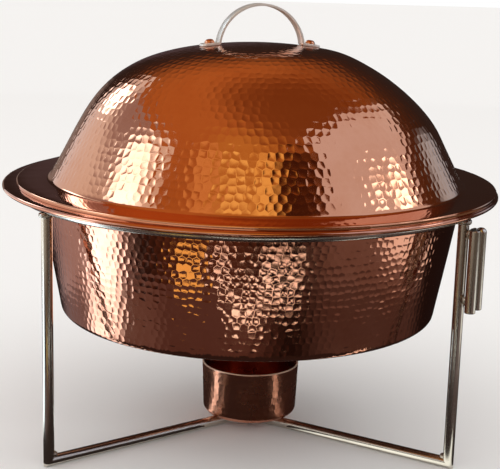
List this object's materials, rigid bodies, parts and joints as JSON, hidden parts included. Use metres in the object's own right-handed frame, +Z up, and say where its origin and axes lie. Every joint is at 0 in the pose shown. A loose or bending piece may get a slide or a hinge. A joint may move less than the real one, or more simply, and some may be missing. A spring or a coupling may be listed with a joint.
{
  "type": "chafing dish",
  "caption": "Round hammered copper chafing dish: domed lid with strap handle, water pan and food pan on a welded steel rod stand, with a fuel cup below.",
  "frame": {"origin": "on the table, under the middle of the pan", "axes": "+Z up; the front, where the fuel cup slides out between the two front legs, is -Y; +X is right as seen from the front"},
  "size_m": [0.4572, 0.4572, 0.3994],
  "materials": {
    "stand_steel": "satin stainless rod with a brownish cast",
    "weld_steel": "rough weld bead, blended and brushed",
    "pan_copper": "hammered copper, polished, dark red-brown",
    "lid_copper": "hammered copper, polished, orange-brown",
    "cup_copper": "lightly hammered copper, polished, dark",
    "rivet_copper": "domed copper rivet, worn",
    "rim_wire_steel": "plain drawn wire",
    "food_pan_steel": "satin stainless sheet",
    "handle_steel": "polished stainless strap"
  },
  "bodies": {
    "stand": {"stand_ring": "stand_steel", "leg_left": "stand_steel", "leg_right": "stand_steel", "leg_back": "stand_steel", "foot_bar_left": "stand_steel", "foot_bar_right": "stand_steel", "foot_bar_back": "stand_steel", "ring_welds": "weld_steel", "foot_welds": "weld_steel", "centre_weld": "weld_steel", "lid_rest_front_rod": "stand_steel", "lid_rest_rear_rod": "stand_steel", "lid_rest_welds": "weld_steel"},
    "water_pan": {"water_pan": "pan_copper", "pan_rim_wire": "rim_wire_steel"},
    "food_pan": {"food_pan": "food_pan_steel"},
    "lid": {"lid_shell": "lid_copper", "lid_handle": "handle_steel", "handle_rivets": "rivet_copper", "rivet_burrs": "rivet_copper"},
    "fuel_cup": {"fuel_cup": "cup_copper"}
  },
  "joints": [
    {"name": "water_pan_lift", "type": "slide", "parent": "stand", "child": "water_pan", "axis": [0, 0, 1], "range_m": [0, 0.15]},
    {"name": "food_pan_lift", "type": "slide", "parent": "water_pan", "child": "food_pan", "axis": [0, 0, 1], "range_m": [0, 0.09]},
    {"name": "lid_lift", "type": "slide", "parent": "food_pan", "child": "lid", "axis": [0, 0, 1], "range_m": [0, 0.18]},
    {"name": "fuel_cup_slide", "type": "slide", "parent": "stand", "child": "fuel_cup", "axis": [0, -1, 0], "range_m": [0, 0.3]}
  ]
}
